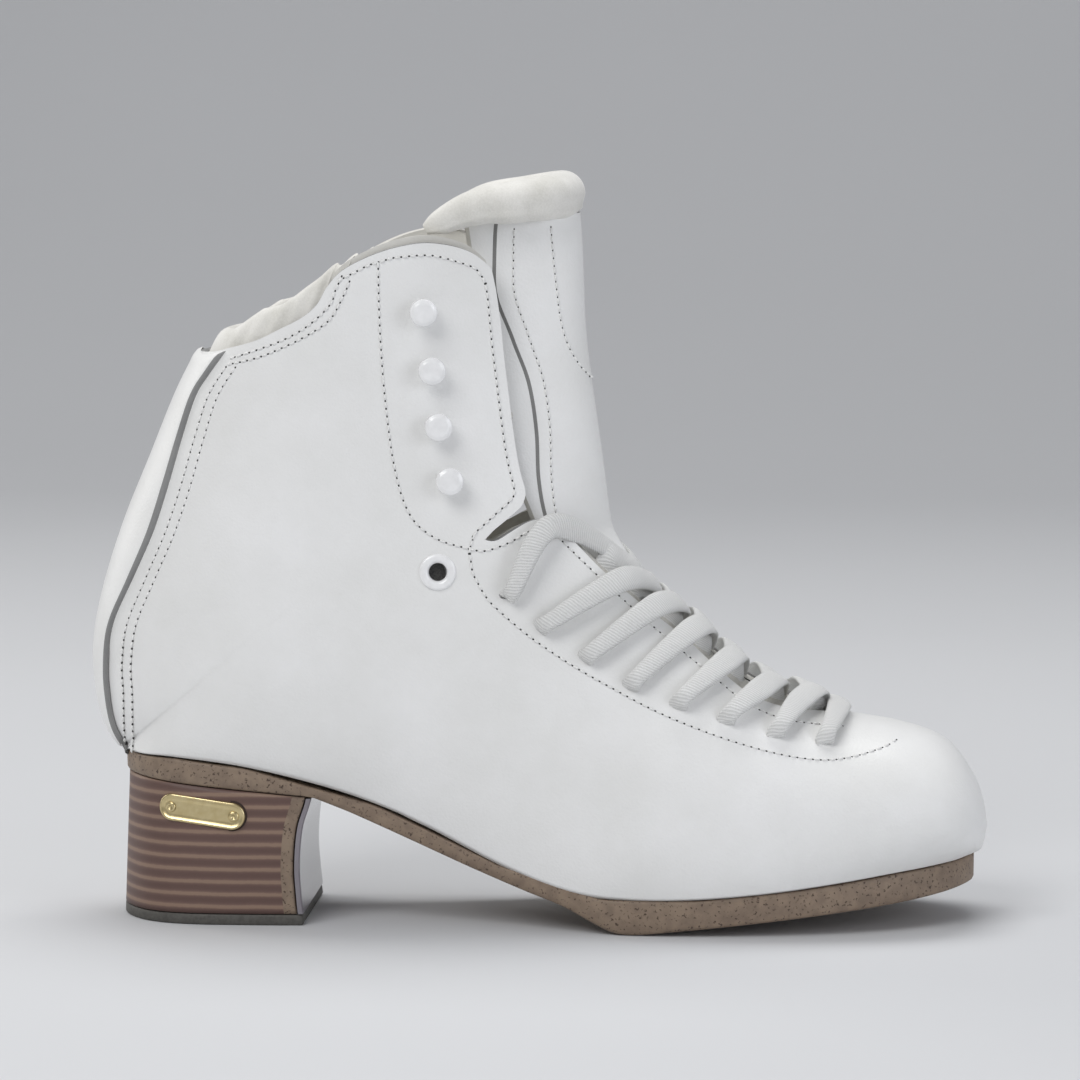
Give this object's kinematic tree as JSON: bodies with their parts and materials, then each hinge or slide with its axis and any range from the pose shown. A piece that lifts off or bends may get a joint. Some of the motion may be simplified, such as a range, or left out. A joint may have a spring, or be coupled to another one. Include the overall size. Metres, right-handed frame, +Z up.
{
  "type": "figure skating boot",
  "caption": "Single high-cut leather ice-skating boot without a blade: stacked heel, shanked sole, laced front with hook flaps, padded collar and tongue.",
  "frame": {"origin": "centre of the heel's ground face", "axes": "+X towards the toe, +Y towards the inner (medial) side of the foot, +Z up"},
  "size_m": [0.2675, 0.0842, 0.2213],
  "materials": {
    "white_leather": "smooth white full-grain leather, satin",
    "suede": "off-white brushed suede",
    "sole_leather": "tan sole leather, sealed and speckled",
    "stacked_leather": "dark brown stacked leather, waxed",
    "grey_gloss": "glossy grey cover sheet",
    "rubber": "dark grey rubber lift",
    "brass": "polished brass, blank",
    "steel": "bright steel",
    "cork": "ground cork filler",
    "fibreboard": "pressed shoe fibreboard",
    "felt": "grey speckled felt",
    "foam": "pale foam in cloth",
    "lace_weave": "flat woven white cotton",
    "aglet": "clear plastic lace tip over white lace",
    "enamel": "white enamelled steel, glossy"
  },
  "bodies": {
    "boot": {"outsole": "sole_leather", "heel_stack": "stacked_leather", "heel_breast_cover": "grey_gloss", "heel_lift": "rubber", "heel_badge": "brass", "badge_pin_rear": "brass", "badge_pin_front": "brass", "heel_screw": "steel", "heel_nail_1": "steel", "heel_nail_2": "steel", "heel_nail_3": "steel", "heel_nail_4": "steel", "shank": "steel", "sole_filler": "cork", "insole_board": "fibreboard", "footbed": "felt", "lace": "lace_weave", "lace_coil_outer": "lace_weave", "lace_coil_inner": "lace_weave", "lace_aglet_outer": "aglet", "lace_aglet_inner": "aglet", "upper_shell": "white_leather", "heel_counter": "fibreboard", "toe_puff": "fibreboard", "facing_backing_outer": "fibreboard", "facing_backing_inner": "fibreboard", "quarter_lining": "suede", "collar_padding": "suede", "backstay": "white_leather", "vent_grommet_outer": "enamel", "vent_grommet_inner": "enamel", "tongue_lower": "felt"},
    "tongue": {"tongue_leather": "white_leather", "tongue_padding": "foam", "tongue_lip": "suede"},
    "flap_outer": {"flap_leather_outer": "white_leather", "flap_backing_outer": "fibreboard", "flap_lining_outer": "suede", "hook_outer_1": "enamel", "hook_outer_2": "enamel", "hook_outer_3": "enamel", "hook_outer_4": "enamel"},
    "flap_inner": {"flap_leather_inner": "white_leather", "flap_backing_inner": "fibreboard", "flap_lining_inner": "suede", "hook_inner_1": "enamel", "hook_inner_2": "enamel", "hook_inner_3": "enamel", "hook_inner_4": "enamel"}
  },
  "joints": [
    {"name": "tongue_tilt", "type": "hinge", "parent": "boot", "child": "tongue", "pos_m": [0.1182, 0, 0.1201], "axis": [0, 1, 0], "range_deg": [0, 30], "stiffness_Nm_per_rad": 0.05},
    {"name": "flap_outer_open", "type": "hinge", "parent": "boot", "child": "flap_outer", "pos_m": [0.07166, -0.03153, 0.11665], "axis": [0.4114, 0.0238, -0.9111], "range_deg": [0, 15], "stiffness_Nm_per_rad": 0.03},
    {"name": "flap_inner_open", "type": "hinge", "parent": "boot", "child": "flap_inner", "pos_m": [0.07187, 0.03132, 0.1168], "axis": [-0.4142, 0.0264, 0.9098], "range_deg": [0, 15], "stiffness_Nm_per_rad": 0.03}
  ]
}
